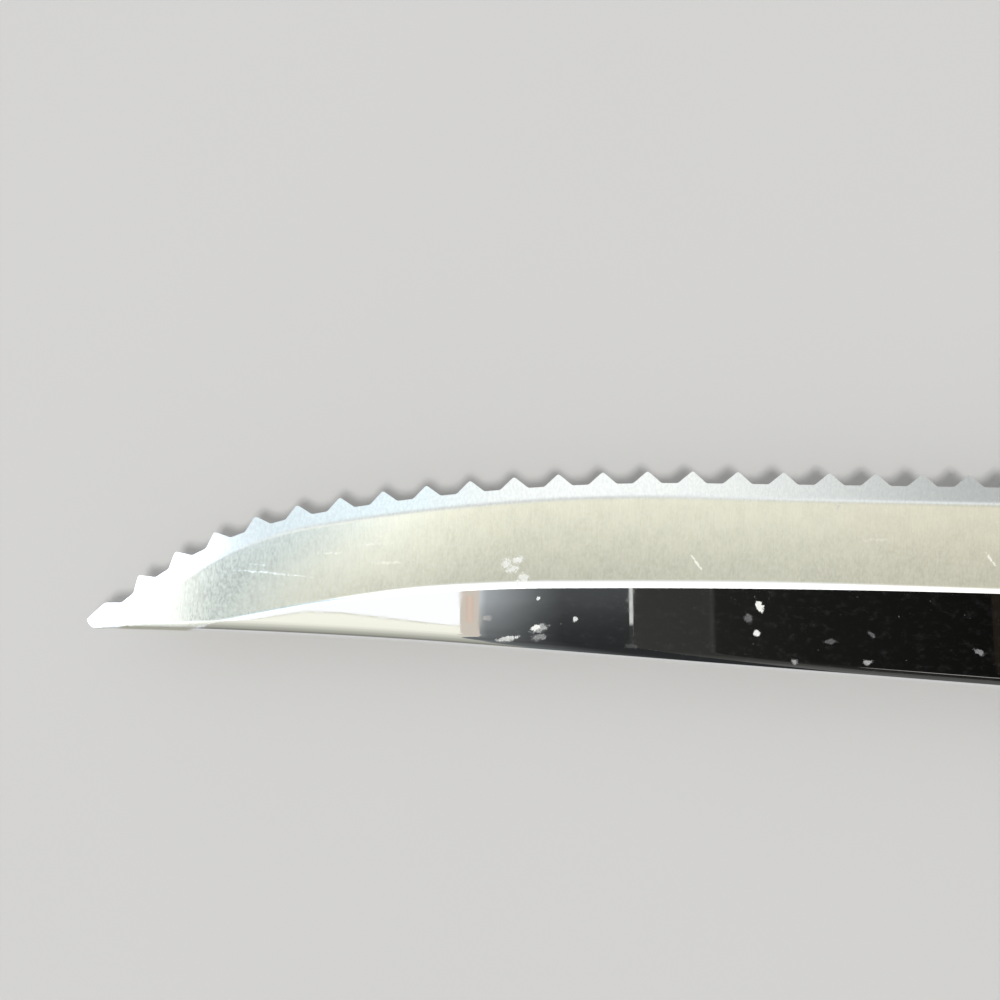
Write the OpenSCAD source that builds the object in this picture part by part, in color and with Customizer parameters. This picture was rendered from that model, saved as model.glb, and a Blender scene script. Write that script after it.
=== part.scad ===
// Serrated kitchen utility knife with a full tang and a riveted two-scale handle.
// It lies on its side: the point is towards -X, the butt towards +X, the cutting edge
// towards +Y and the spine towards -Y. The lower flat of the handle rests on Z = 0.
// Blade dimensions are measured from the point: x towards the butt, y towards the edge.

/* [Blade] */
// Length of the blade from the heel to the point, with the tip curve below ending there
blade_l = 127; // [110:1:150]
// Height of the blade at the heel
heel_h = 22.9; // [21:0.1:26]
// Thickness of the steel at the heel and in the tang
blade_t = 2; // [1.9:0.05:2.4]
// Thickness of the flats at the point
point_t = 1.7; // [1.5:0.05:1.9]
// Distance of the point below the straight part of the edge
point_drop = 16.6; // [15:0.1:18]
// Angle between the straight part of the spine and the straight part of the edge
spine_angle = 3; // [2:0.1:4]
// Distance from the point to where the spine starts to bend
spine_bend_x = 42; // [36:1:60]
// Radius of the bend of the spine near the point
spine_bend_r = 700; // [500:10:1200]
// Width of the eased corner along the spine, on the flat
spine_ease_w = 1; // [0.6:0.1:1.4]
// Depth of the eased corner along the spine, on the back
spine_ease_d = 0.65; // [0.5:0.05:0.7]
// How far the blunt tip leans back from the point to the spine
tip_lean = 1.4; // [0.8:0.1:2]

/* [Edge] */
// Distance from the point to where the straight edge turns into the belly
belly_x = 63; // [56:1:75]
// Radius of the belly
belly_r = 210; // [180:5:260]
// Slope of the edge where the belly meets the tip curve
belly_angle = 11; // [9:0.5:13]
// Radius of the tip curve, which ends at the level of the point
tip_r = 42.4; // [38:0.1:50]
// Thickness left at the points of the teeth
edge_t = 0.12; // [0.08:0.01:0.2]
// Angle of the edge bevel to the middle plane
bevel_angle = 8; // [7:0.5:9]

/* [Serration] */
// Distance from tooth to tooth along the edge
tooth_pitch = 4.55; // [4.2:0.05:5.5]
// Depth of a gullet below the points of the teeth
tooth_depth = 1.25; // [0.8:0.05:1.5]
// Width of the flat floor of a gullet
gullet_w = 1.65; // [1.2:0.05:1.9]
// Width of the land on the point of a tooth
tooth_land = 0.15; // [0.1:0.05:0.3]
// Angle of the gullet grind to the middle plane, ground from the lower side only
gullet_angle = 25; // [20:1:35]
// Plain edge between the point of the blade and the first tooth
tip_plain = 2.4; // [1.5:0.1:4]
// Plain edge between the last tooth and the heel
heel_plain = 4; // [3:0.5:8]

/* [Hollow grind] */
// Distance from the point to where the grind line starts to bend
grind_x = 48; // [44:1:52]
// Distance from the straight edge down to the grind line at that place
grind_w = 12.1; // [11:0.1:13]
// Slope of the grind line at that place
grind_angle = 1.6; // [1:0.1:2.5]
// Radius of the grind line towards the point
grind_tip_r = 160; // [150:5:200]
// Radius of the grind line towards the heel
grind_heel_r = 1100; // [800:50:1500]
// Radius of the grinding wheel
wheel_r = 150; // [140:1:155]
// Angle of the ground face to the flat along the grind line
shoulder_angle = 4.8; // [4:0.1:5]
// How far the grind runs on behind the heel
plunge_l = 2.5; // [1.5:0.5:4]
// Radius of the curved end of the grind
plunge_r = 24; // [16:1:40]

/* [Handle] */
// Plain steel between the heel and the scales
ricasso_l = 7; // [6:0.5:12]
// Length of the handle
handle_l = 116; // [108:1:130]
// Thickness of the handle across its two flats
handle_t = 16; // [14:0.5:18]
// Distance from the rivet line to the spine side at the front
front_spine = 9.6; // [9:0.1:10.5]
// Distance from the rivet line to the spine side at the crest
crest_spine = 10.6; // [9.5:0.1:12]
// Distance from the front of the handle to the crest
crest_u = 52; // [40:1:64]
// Distance from the rivet line to the spine side at the butt
butt_spine = 7.6; // [7:0.1:9]
// Distance from the rivet line to the edge side at the front
front_belly = 9.4; // [8.5:0.1:10]
// Distance from the rivet line to the edge side at the finger groove
groove_belly = 7.9; // [7:0.1:9]
// Distance from the front of the handle to the finger groove
groove_u = 24; // [18:1:30]
// Distance from the rivet line to the edge side at the palm swell
swell_belly = 10.6; // [9.5:0.1:12]
// Distance from the front of the handle to the palm swell
swell_u = 60; // [50:1:66]
// Distance from the rivet line to the edge side at the neck before the butt
neck_belly = 9.3; // [8.5:0.1:10]
// Distance from the front of the handle to the neck
neck_u = 88; // [80:1:92]
// Distance from the rivet line to the edge side at the hooked butt
hook_belly = 14; // [11:0.1:15]
// Length of the rounding at the butt
butt_l = 13; // [9:0.5:16]
// Length of the rounded nose of a scale
nose_l = 11; // [8:0.5:13]
// Thickness of a scale at its front face
nose_t = 2.4; // [1.5:0.1:4]
// Height of the crown that the flat of a scale is cut from
crown_h = 0.75; // [0.5:0.05:1]

/* [Rivets] */
// Distance from the front of the handle to the first rivet
rivet_first = 20; // [17:0.5:24]
// Distance from the last rivet to the end of the butt
rivet_last = 24; // [22:0.5:30]
// Diameter of the heads
rivet_head_d = 7; // [6:0.1:8]
// Thickness of the heads
rivet_head_t = 1.6; // [1:0.1:2.5]
// Outer diameter of the sleeves
sleeve_d = 4.6; // [4.2:0.1:5]
// Diameter of the posts
post_d = 3; // [2.5:0.1:3.4]
// Radial clearance of the heads and sleeves in their holes
hole_gap = 0.03; // [0.02:0.01:0.1]
// Radial clearance of a post in its sleeve
post_gap = 0.02; // [0.01:0.01:0.05]
// Clearance between the free end of a post or sleeve and the opposite head
end_gap = 0.4; // [0.2:0.1:1]

/* [Hidden] */
$fn = 96;

steel = "Silver";
scale_black = "#1c1c1d";
nickel_silver = "LightGray";

// How far cutters reach past what they cut
reach = 5;
// Smoothness of the large wheel curves
wheel_fn = 240;
// Shape of the scale sections and of the butt: 2 is an ellipse, more is squarer
section_n = 2.7;
butt_n = 2.3;
// Points across the curved side of a scale, on its nose and on its butt
section_steps = 20;
nose_steps = 5;
butt_steps = 9;
// Distance between the sections on the straight run of a scale
run_step = 4;
// How far round the butt its last section lies, of the 90 degrees to its very end
butt_sweep = 88;
// How a scale thins where the butt rounds in: 1 is as fast as its outline, less is slower
butt_thin = 0.75;
// Points along the bent part of the spine
spine_steps = 10;

// Blade: derived values
half_t = blade_t / 2;
taper_angle = asin((blade_t - point_t) / 2 / blade_l);
spine_heel_y = point_drop - heel_h;
handle_x = blade_l + ricasso_l;
axis_y = straight_spine_y(handle_x) + front_spine;
// The choil is a quarter round from the heel down to the edge side of the handle
choil_r = point_drop - axis_y - front_belly;
belly_arc = belly_r * belly_angle * PI / 180;
belly_end = [belly_x - belly_r * sin(belly_angle), point_drop - belly_r * (1 - cos(belly_angle))];
tip_slope = acos(cos(belly_angle) - belly_end[1] / tip_r);
tip_arc = tip_r * (tip_slope - belly_angle) * PI / 180;
edge_start = -belly_arc - tip_arc;
tip_x = edge_point(edge_start)[0];
edge_end = blade_l - belly_x;
teeth = floor((edge_end - edge_start - tip_plain - heel_plain) / tooth_pitch);
flank_run = (tooth_pitch - gullet_w - tooth_land) / 2;

// Handle: derived values
scale_t = handle_t / 2 - half_t;
crown_t = scale_t + crown_h;
rivet_pitch = (handle_l - rivet_first - rivet_last) / 2;
rivets = [for (i = [0:2]) handle_x + rivet_first + i * rivet_pitch];
spine_stops = [[0, front_spine], [crest_u, crest_spine], [handle_l, butt_spine]];
belly_stops = [[0, front_belly], [groove_u, groove_belly], [swell_u, swell_belly],
               [neck_u, neck_belly], [handle_l - butt_l / 2, hook_belly], [handle_l, hook_belly]];
// The part's origin: on the lower flat, midway between the front and the middle rivet
origin_x = (rivets[0] + rivets[1]) / 2;

// The straight part of the spine, carried on in both directions
function straight_spine_y(x) = spine_heel_y - (x - blade_l) * tan(spine_angle);

// The spine: straight from the heel, then bent a little towards the back near the point
function spine_y(x) = let (run = max(0, spine_bend_x - x) / cos(spine_angle))
    straight_spine_y(x) - (spine_bend_r - sqrt(pow(spine_bend_r, 2) - pow(run, 2)));

// The line through the points of the teeth: s runs along it, 0 where the belly starts
function edge_slope(s) =
    s >= 0 ? 0
    : s >= -belly_arc ? -s / belly_r * 180 / PI
    : belly_angle + (-s - belly_arc) / tip_r * 180 / PI;
function edge_point(s) = let (a = edge_slope(s))
    s >= 0 ? [belly_x + s, point_drop]
    : s >= -belly_arc ? [belly_x - belly_r * sin(a), point_drop - belly_r * (1 - cos(a))]
    : belly_end - tip_r * [sin(a) - sin(belly_angle), cos(belly_angle) - cos(a)];
function tooth_at(i) = edge_start + tip_plain + i * tooth_pitch;

// A smooth line through [position, value] stops, level at each stop
function ease(a, b, t) = a + (b - a) * (1 - cos(180 * t)) / 2;
function through(stops, u) = let (i = max([for (k = [0:len(stops) - 2]) if (u >= stops[k][0]) k]))
    ease(stops[i][1], stops[i + 1][1], (u - stops[i][0]) / (stops[i + 1][0] - stops[i][0]));

// The handle's outline, u from its front: how far the butt is rounded in, and its two sides
function butt_share(u) = let (t = max(0, (u - handle_l) / butt_l + 1)) pow(1 - pow(t, butt_n), 1 / butt_n);
function middle_v(u) = (through(belly_stops, u) - through(spine_stops, u)) / 2;
function half_v(u) = (through(belly_stops, u) + through(spine_stops, u)) / 2 * butt_share(u);
function spine_side(u) = [handle_x + u, axis_y + middle_v(u) - half_v(u)];
function belly_side(u) = [handle_x + u, axis_y + middle_v(u) + half_v(u)];
// The scale's thickness: a rounded nose at the front, and rounded off at the butt
function thickness(u) = let (n = min(1, u / nose_l))
    (nose_t + (crown_t - nose_t) * sqrt(1 - pow(1 - n, 2))) * pow(butt_share(u), butt_thin);
// Where the handle's sections lie: close together on the nose and on the butt
handle_us = concat(
    [for (i = [0:nose_steps]) nose_l * pow(i / nose_steps, 2)],
    [for (u = [nose_l + run_step:run_step:handle_l - butt_l - 1]) u],
    [for (i = [0:butt_steps]) handle_l - butt_l + butt_l * sin(butt_sweep * i / butt_steps)]);

// Puts the knife, drawn about its middle plane from the point, on the part's origin
module placed() {
    translate([-origin_x, -axis_y, handle_t / 2]) children();
}

// The whole steel in one outline: teeth still uncut, choil as a quarter round, then the tang
module steel_outline() {
    spine_xs = [for (i = [0:spine_steps])
        spine_bend_x + (tip_x + tip_lean - spine_bend_x) * i / spine_steps];
    polygon(concat(
        [for (u = handle_us) belly_side(u)],
        [for (i = [len(handle_us) - 1:-1:0]) spine_side(handle_us[i])],
        [for (x = spine_xs) [x, spine_y(x)]],
        [edge_point(edge_start)],
        [for (i = [0:teeth]) edge_point(tooth_at(i))],
        [for (a = [0:10:80]) [blade_l + choil_r * (1 - cos(a)), point_drop - choil_r * sin(a)]]));
}

// One grinding wheel's section, with the grind line at x = 0 and the flat at y = 0
module wheel_section() {
    intersection() {
        translate([wheel_r * sin(shoulder_angle), wheel_r * cos(shoulder_angle)])
            circle(r = wheel_r, $fn = wheel_fn);
        translate([-reach, -reach]) square([grind_w + 3 * reach, 2 * reach]);
    }
}

// A wheel's path along the grind line, bent to radius r, from its start over an angle
module wheel_path(r, start, angle) {
    translate([0, -r, 0])
        rotate_extrude(start = start, angle = angle, $fn = 3 * wheel_fn)
            translate([r, 0]) wheel_section();
}

// Puts what is drawn about the upper flat, at z = 0, on the plane that tapers from the heel
module on_flat() {
    translate([blade_l, 0, half_t]) rotate([0, -taper_angle, 0]) translate([-blade_l, 0, 0]) children();
}

// What grinding takes off to taper the flat
module flat_cut() {
    translate([-2 * reach, -heel_h, 0]) cube([blade_l + 2 * reach, 2 * heel_h, reach]);
}

// What the wheel takes off below the grind line, up to its curved end near the heel
module hollow_cut() {
    heel_run = blade_l + plunge_l - grind_x;
    difference() {
        translate([grind_x, point_drop - grind_w, 0]) rotate(grind_angle) {
            wheel_path(grind_tip_r, 90, asin((grind_x + 2 * reach) / grind_tip_r));
            wheel_path(grind_heel_r, 90, -asin((heel_run + reach) / grind_heel_r));
        }
        translate([blade_l + plunge_l + plunge_r, point_drop - grind_w / 2, -reach])
            cylinder(r = plunge_r, h = 3 * reach, $fn = wheel_fn);
    }
}

// What the edge bevel takes off in one flat facet, tangent to the edge at s and run past it by ahead
module bevel_facet(s, ahead) {
    behind = 1.5 * tooth_pitch;
    translate(edge_point(s)) rotate(edge_slope(s))
        translate([0, 0, edge_t / 2]) rotate([-bevel_angle, 0, 0])
            translate([-behind, -reach, 0]) cube([behind + ahead, 2 * reach, reach]);
}

// What the edge bevel takes off: one facet on the straight edge, then one a tooth round the belly
module bevel_cut() {
    bevel_facet(0, edge_end + choil_r / 2);
    for (s = [-tooth_pitch:-tooth_pitch:edge_start]) bevel_facet(s, 1.5 * tooth_pitch);
}

// What easing takes off the corner of the spine, in section: x from the back into the blade,
// y up from the flat. The round that is left goes from the flat to the back, and its radius is a
// little more than the one that would run out smoothly, so that it meets the flat at an angle.
module ease_section() {
    // How much larger the radius is, and how much deeper than the ease the tool reaches
    widen = 1.1;
    deepen = 1.2;
    chord = [spine_ease_w, spine_ease_d];
    round_r = widen * pow(norm(chord), 2) / (2 * spine_ease_d);
    sink = sqrt(pow(round_r, 2) - pow(norm(chord) / 2, 2)) / norm(chord);
    centre = [spine_ease_w / 2 + sink * spine_ease_d, -spine_ease_d / 2 - sink * spine_ease_w];
    depth = deepen * spine_ease_d;
    difference() {
        translate([-reach, -depth]) square([reach + centre[0], depth + reach]);
        translate(centre) circle(r = round_r);
    }
}

// What easing takes off along the whole spine, straight from the handle and then bent
module ease_cut() {
    translate([spine_bend_x, straight_spine_y(spine_bend_x), 0]) rotate(-spine_angle) {
        rotate([90, 0, 90]) linear_extrude((handle_x - spine_bend_x) / cos(spine_angle)) ease_section();
        translate([0, -spine_bend_r, 0])
            rotate_extrude(start = 90, angle = asin((spine_bend_x - tip_x) / spine_bend_r), $fn = wheel_fn)
                translate([spine_bend_r, 0]) ease_section();
    }
}

// One gullet, ground at an angle through the edge from the lower side
module gullet(s) {
    // The gullet's depth across the wheel, and how many times that the wheel reaches out past the teeth
    cut = tooth_depth * (sin(gullet_angle) + tan(bevel_angle) * cos(gullet_angle));
    out = 1.6;
    floor_z = edge_t / 2 + tooth_depth * tan(bevel_angle);
    half = gullet_w / 2;
    translate(edge_point(s)) rotate(edge_slope(s))
        translate([0, -tooth_depth, floor_z]) rotate([gullet_angle - 90, 0, 0])
            linear_extrude(4 * reach, center = true)
                polygon([[-half, 0], [half, 0],
                         [half + out * flank_run, out * cut], [-half - out * flank_run, out * cut]]);
}

// The steel with both its sides ground: tapered, hollow and bevelled to the edge
module ground_steel() {
    difference() {
        linear_extrude(blade_t, center = true) steel_outline();
        for (side = [0, 1]) mirror([0, 0, side]) {
            on_flat() flat_cut();
            on_flat() hollow_cut();
            bevel_cut();
        }
    }
}

// The blade and its full tang: the ground steel with its spine eased, serrated and drilled
module blade() {
    color(steel) placed() difference() {
        ground_steel();
        for (side = [0, 1]) mirror([0, 0, side]) on_flat() ease_cut();
        for (i = [0:teeth - 1]) gullet(tooth_at(i + 0.5));
        for (x = rivets) translate([x, axis_y, -blade_t])
            cylinder(d = sleeve_d + 2 * hole_gap, h = 2 * blade_t);
    }
}

// A scale's full crown as a loft of half-rounded sections on the face of the tang
module scale_crown() {
    side = section_steps + 1;
    rings = len(handle_us);
    function section(u) = [for (i = [0:section_steps]) let (
        a = 180 * i / section_steps,
        across = sign(cos(a)) * pow(abs(cos(a)), 2 / section_n),
        up = pow(sin(a), 2 / section_n))
        [handle_x + u, axis_y + middle_v(u) + half_v(u) * across, half_t + thickness(u) * up]];
    polyhedron(
        points = [for (u = handle_us) each section(u)],
        faces = concat(
            [[for (i = [0:section_steps]) i]],
            [[for (i = [section_steps:-1:0]) (rings - 1) * side + i]],
            [for (r = [0:rings - 2], i = [0:section_steps])
                let (next = (i + 1) % side)
                [r * side + i, (r + 1) * side + i, (r + 1) * side + next, r * side + next]]));
}

// One scale: its flat cut from the crown, and counterbored holes for the rivets
module scale() {
    difference() {
        scale_crown();
        translate([handle_x - reach, axis_y - heel_h, handle_t / 2])
            cube([handle_l + 2 * reach, 2 * heel_h, reach]);
        for (x = rivets) translate([x, axis_y, 0]) {
            cylinder(d = sleeve_d + 2 * hole_gap, h = handle_t);
            translate([0, 0, handle_t / 2 - rivet_head_t])
                cylinder(d = rivet_head_d + 2 * hole_gap, h = reach);
        }
    }
}

module right_scale() {
    color(scale_black) placed() scale();
}

module left_scale() {
    color(scale_black) placed() mirror([0, 0, 1]) scale();
}

// The solid half of a rivet, its head in the right scale
module rivet_post(i) {
    color(nickel_silver) placed() translate([rivets[i], axis_y, 0]) {
        translate([0, 0, handle_t / 2 - rivet_head_t]) cylinder(d = rivet_head_d, h = rivet_head_t);
        post_l = handle_t - 2 * rivet_head_t - end_gap;
        translate([0, 0, handle_t / 2 - rivet_head_t - post_l])
            cylinder(d = post_d, h = post_l + rivet_head_t);
    }
}

// The hollow half of a rivet, its head in the left scale, that the post is pressed into
module rivet_sleeve(i) {
    sleeve_l = handle_t - rivet_head_t - end_gap;
    color(nickel_silver) placed() translate([rivets[i], axis_y, -handle_t / 2]) difference() {
        union() {
            cylinder(d = rivet_head_d, h = rivet_head_t);
            cylinder(d = sleeve_d, h = sleeve_l);
        }
        translate([0, 0, rivet_head_t]) cylinder(d = post_d + 2 * post_gap, h = handle_t);
    }
}

blade();
right_scale();
left_scale();
rivet_post(0);  // front_rivet_post
rivet_sleeve(0);  // front_rivet_sleeve
rivet_post(1);  // middle_rivet_post
rivet_sleeve(1);  // middle_rivet_sleeve
rivet_post(2);  // rear_rivet_post
rivet_sleeve(2);  // rear_rivet_sleeve
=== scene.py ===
"""The looks of a serrated kitchen utility knife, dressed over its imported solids.

The knife lies on its side: point towards -X, cutting edge towards +Y. Shapes are worked out in millimetres
in the knife's own frame, x from the point towards the butt and y towards the edge, about the middle plane
of the steel, and then put into the part's frame in metres.
"""
import math

import bmesh
import bpy
import numpy as np
from mathutils import Matrix, Vector, geometry


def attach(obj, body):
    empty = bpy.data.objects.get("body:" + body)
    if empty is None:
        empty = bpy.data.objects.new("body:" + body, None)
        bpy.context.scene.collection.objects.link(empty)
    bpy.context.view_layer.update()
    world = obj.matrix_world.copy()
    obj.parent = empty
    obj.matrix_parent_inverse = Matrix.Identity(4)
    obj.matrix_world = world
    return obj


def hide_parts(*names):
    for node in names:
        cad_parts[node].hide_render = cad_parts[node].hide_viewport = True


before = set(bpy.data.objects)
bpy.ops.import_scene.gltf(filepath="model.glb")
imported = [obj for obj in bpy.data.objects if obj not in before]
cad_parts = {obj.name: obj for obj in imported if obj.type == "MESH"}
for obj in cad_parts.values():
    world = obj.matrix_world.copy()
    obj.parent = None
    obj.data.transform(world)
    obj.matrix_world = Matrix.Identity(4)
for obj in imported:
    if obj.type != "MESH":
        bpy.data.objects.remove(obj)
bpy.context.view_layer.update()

MM = 0.001

# Blade
BLADE_L = 127.0
HEEL_H = 22.9
HALF_T = 1.0
POINT_HALF_T = 0.85
POINT_DROP = 16.6
SPINE_ANGLE = math.radians(3)
SPINE_BEND_X = 42.0
SPINE_BEND_R = 700.0
EASE_W = 1.0
EASE_D = 0.65
TIP_LEAN = 1.4
TIP_BULGE = 0.32
TIP_BULGE_RUN = 0.8

# Edge and teeth
BELLY_X = 63.0
BELLY_R = 210.0
BELLY_ANGLE = math.radians(11)
TIP_R = 42.4
EDGE_HALF_T = 0.06
BEVEL = math.tan(math.radians(8))
TOOTH_PITCH = 4.55
TOOTH_DEPTH = 1.25
GULLET_W = 1.65
TOOTH_LAND = 0.15
GULLET_ANGLE = math.radians(25)
TIP_PLAIN = 2.4
HEEL_PLAIN = 4.0

# Hollow grind
GRIND_X = 48.0
GRIND_W = 12.1
GRIND_ANGLE = math.radians(1.6)
GRIND_TIP_R = 160.0
GRIND_HEEL_R = 1100.0
WHEEL_R = 150.0
SHOULDER_ANGLE = math.radians(4.8)
PLUNGE_L = 2.5
PLUNGE_R = 24.0

# Handle
RICASSO_L = 7.0
HANDLE_L = 116.0
HANDLE_HALF_T = 8.0
SPINE_STOPS = [(0, 9.6), (52, 10.6), (HANDLE_L, 7.6)]
BELLY_STOPS = [(0, 9.4), (24, 7.9), (60, 10.6), (88, 9.3), (109.5, 14), (HANDLE_L, 14)]
BUTT_L = 13.0
BUTT_N = 2.3
BUTT_THIN = 0.75
SECTION_N = 2.7
NOSE_L = 11.0
NOSE_T = 2.4
CROWN_T = 7.75
RIVET_FIRST = 20.0
RIVET_PITCH = 36.0
RIVET_HOLE_R = 2.33
HEAD_HOLE_R = 3.53
HEAD_T = 1.6

# Softness of the transitions that finishing leaves, as the blend height of the surfaces that meet there
SHOULDER_BLEND = 0.033
BEVEL_BLEND = 0.042
EASE_BLEND = 0.012
TOOTH_BLEND = 0.16
FLAT_BLEND = 0.22

# Where the grinds run out at the plunge and the eased spine in front of the handle, and how much flatter the
# ease is than an arc that would meet the flat without a corner
PLUNGE_FADE = (-1.9, 1.4)
EASE_FADE = (5.0, 0.5)
EASE_FLATTER = 1.1

# How far the polish of the flats reaches over the grind line, along the blade, how softly it ends, and where
# it starts again at the plunge
POLISH_REACH = [(0, 0.0), (18, 0.0), (36, 0.45), (65, 0.45), (95, 0.22), (BLADE_L, 0.22)]
POLISH_FADE = 0.12
PLUNGE_POLISH = (-1.5, 0.5)

# The edge band comes in over a range of the hollow's height above the bevel, and ends at the latest over a
# range of distances from the tooth line, or at this place along the blade
BAND_FADE = (-0.048, 0.006)
BAND_LIMIT = (2.9, 3.4)
BAND_END = BLADE_L + 1

# Half the width over which the blade's finish turns into the tang's
TANG_FADE = 0.2

# Derived values
TAPER = (HALF_T - POINT_HALF_T) / BLADE_L
HANDLE_X = BLADE_L + RICASSO_L
BELLY_ARC = BELLY_R * BELLY_ANGLE
BELLY_END = (BELLY_X - BELLY_R * math.sin(BELLY_ANGLE), POINT_DROP - BELLY_R * (1 - math.cos(BELLY_ANGLE)))
TIP_SLOPE = math.acos(math.cos(BELLY_ANGLE) - BELLY_END[1] / TIP_R)
EDGE_START = -BELLY_ARC - TIP_R * (TIP_SLOPE - BELLY_ANGLE)
EDGE_END = BLADE_L - BELLY_X
TEETH = int((EDGE_END - EDGE_START - TIP_PLAIN - HEEL_PLAIN) // TOOTH_PITCH)
FLANK_RUN = (TOOTH_PITCH - GULLET_W - TOOTH_LAND) / 2
RIVETS = [HANDLE_X + RIVET_FIRST + i * RIVET_PITCH for i in range(3)]


def straight_spine_y(x):
    """The straight part of the spine, carried on in both directions."""
    return POINT_DROP - HEEL_H - (x - BLADE_L) * math.tan(SPINE_ANGLE)


def spine_y(x):
    """The spine: straight from the heel, then bent a little near the point."""
    run = np.maximum(0, SPINE_BEND_X - x) / math.cos(SPINE_ANGLE)
    return straight_spine_y(x) - (SPINE_BEND_R - np.sqrt(SPINE_BEND_R**2 - run**2))


AXIS_Y = straight_spine_y(HANDLE_X) + SPINE_STOPS[0][1]
CHOIL_R = POINT_DROP - AXIS_Y - BELLY_STOPS[0][1]
ORIGIN = np.array([(RIVETS[0] + RIVETS[1]) / 2, AXIS_Y, -HANDLE_HALF_T])


def smooth_step(low, high, value):
    """0 below low, 1 above high, and an even rise between them."""
    t = np.clip((value - low) / (high - low), 0, 1)
    return t * t * (3 - 2 * t)


def soft_min(a, b, blend):
    """The lower of two heights, rounded off where they come within blend of each other."""
    near = np.maximum(blend - np.abs(a - b), 0) / blend
    return np.minimum(a, b) - near * near * blend / 4


def soft_max(a, b, blend):
    return -soft_min(-a, -b, blend)


def edge_slope(s):
    """Slope of the line through the points of the teeth; s runs along it, 0 where the belly starts."""
    belly = -np.minimum(s, 0) / BELLY_R
    return np.where(s >= -BELLY_ARC, belly, BELLY_ANGLE + (-s - BELLY_ARC) / TIP_R)


def edge_point(s):
    """Points of that line."""
    a = edge_slope(s)
    x = np.where(s >= -BELLY_ARC,
                 BELLY_X + np.maximum(s, 0) - BELLY_R * np.sin(a),
                 BELLY_END[0] - TIP_R * (np.sin(a) - math.sin(BELLY_ANGLE)))
    y = np.where(s >= -BELLY_ARC,
                 POINT_DROP - BELLY_R * (1 - np.cos(a)),
                 BELLY_END[1] - TIP_R * (math.cos(BELLY_ANGLE) - np.cos(a)))
    return np.stack([x, y], axis=-1)


def tooth_at(i):
    return EDGE_START + TIP_PLAIN + i * TOOTH_PITCH


def outline_depth(s):
    """Depth of the edge below the line through the tooth points: flat gullets and rounded teeth."""
    i = np.clip(np.floor((s - tooth_at(0)) / TOOTH_PITCH), 0, TEETH - 1)
    off = np.abs(s - tooth_at(i + 0.5))
    flank = TOOTH_DEPTH * (1 - (off - GULLET_W / 2) / FLANK_RUN)
    depth = soft_min(flank, TOOTH_DEPTH + 0 * flank, TOOTH_BLEND)
    return np.where(off > TOOTH_PITCH / 2, 0, soft_max(depth, 0 * flank, TOOTH_BLEND))


def grind_distance(x, y):
    """Distance from the grind line, positive towards the edge."""
    along = np.array([math.cos(GRIND_ANGLE), math.sin(GRIND_ANGLE)])
    across = np.array([-along[1], along[0]])
    from_bend = np.stack([x - GRIND_X, y - (POINT_DROP - GRIND_W)], axis=-1)
    radius = np.where(from_bend @ along < 0, GRIND_TIP_R, GRIND_HEEL_R)
    return np.linalg.norm(from_bend + radius[..., None] * across, axis=-1) - radius


def flat_z(x):
    """Height of the flats over the middle plane: the steel tapers from the heel to the point."""
    return HALF_T - np.maximum(0, BLADE_L - x) * TAPER


def hollow_z(x, y):
    """Height of the hollow that the grinding wheel leaves."""
    reach = grind_distance(x, y) - WHEEL_R * math.sin(SHOULDER_ANGLE)
    return flat_z(x) + WHEEL_R * math.cos(SHOULDER_ANGLE) - np.sqrt(WHEEL_R**2 - reach**2)


def bevel_z(edge_d):
    """Height of the edge bevel at a distance from the tooth line."""
    return EDGE_HALF_T + edge_d * BEVEL


def plunge_distance(x, y):
    """Distance behind the arc at which the grinds run out in front of the handle."""
    return x - BLADE_L - PLUNGE_L - (y - POINT_DROP + GRIND_W / 2) ** 2 / (2 * PLUNGE_R)


def upper_z(x, y, edge_d):
    """Height of the upper side over the middle plane; edge_d is the distance from the tooth line."""
    flat = flat_z(x)
    ground = soft_min(flat, hollow_z(x, y), SHOULDER_BLEND)
    ground = soft_min(ground, bevel_z(edge_d), BEVEL_BLEND)
    ground = flat - (flat - ground) * (1 - smooth_step(*PLUNGE_FADE, plunge_distance(x, y)))
    chord = math.hypot(EASE_W, EASE_D)
    round_r = EASE_FLATTER * chord**2 / (2 * EASE_D)
    sink = math.sqrt(round_r**2 - chord**2 / 4) / chord
    centre = (EASE_W / 2 + sink * EASE_D, -EASE_D / 2 - sink * EASE_W)
    inward = np.minimum((y - spine_y(x)) * math.cos(SPINE_ANGLE), centre[0])
    eased = flat + centre[1] + np.sqrt(round_r**2 - (inward - centre[0]) ** 2)
    run_out = 1 - smooth_step(HANDLE_X - EASE_FADE[0], HANDLE_X - EASE_FADE[1], x)
    return soft_min(ground, flat + (eased - flat) * run_out + (1 - run_out) * EASE_D, EASE_BLEND)


def gullet_z(edge_d, depth):
    """Height of the gullet grind, which comes from the lower side and leaves the outline at depth."""
    rise = math.sin(GULLET_ANGLE) + BEVEL * math.cos(GULLET_ANGLE)
    floor_z = EDGE_HALF_T + TOOTH_DEPTH * BEVEL
    kept = (TOOTH_DEPTH - depth) * rise
    return floor_z - (kept + (edge_d - TOOTH_DEPTH) * math.sin(GULLET_ANGLE)) / math.cos(GULLET_ANGLE)


def ease(a, b, t):
    return a + (b - a) * (1 - np.cos(np.pi * t)) / 2


def through(stops, u):
    """A smooth line through (position, value) stops, level at each stop."""
    value = np.zeros_like(u)
    for (u0, v0), (u1, v1) in zip(stops, stops[1:]):
        value = np.where(u >= u0, ease(v0, v1, np.clip((u - u0) / (u1 - u0), 0, 1)), value)
    return value


def butt_share(u):
    t = np.clip((u - HANDLE_L) / BUTT_L + 1, 0, 1)
    return (1 - t**BUTT_N) ** (1 / BUTT_N)


def middle_v(u):
    return (through(BELLY_STOPS, u) - through(SPINE_STOPS, u)) / 2


def half_v(u):
    return (through(BELLY_STOPS, u) + through(SPINE_STOPS, u)) / 2 * butt_share(u)


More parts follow.
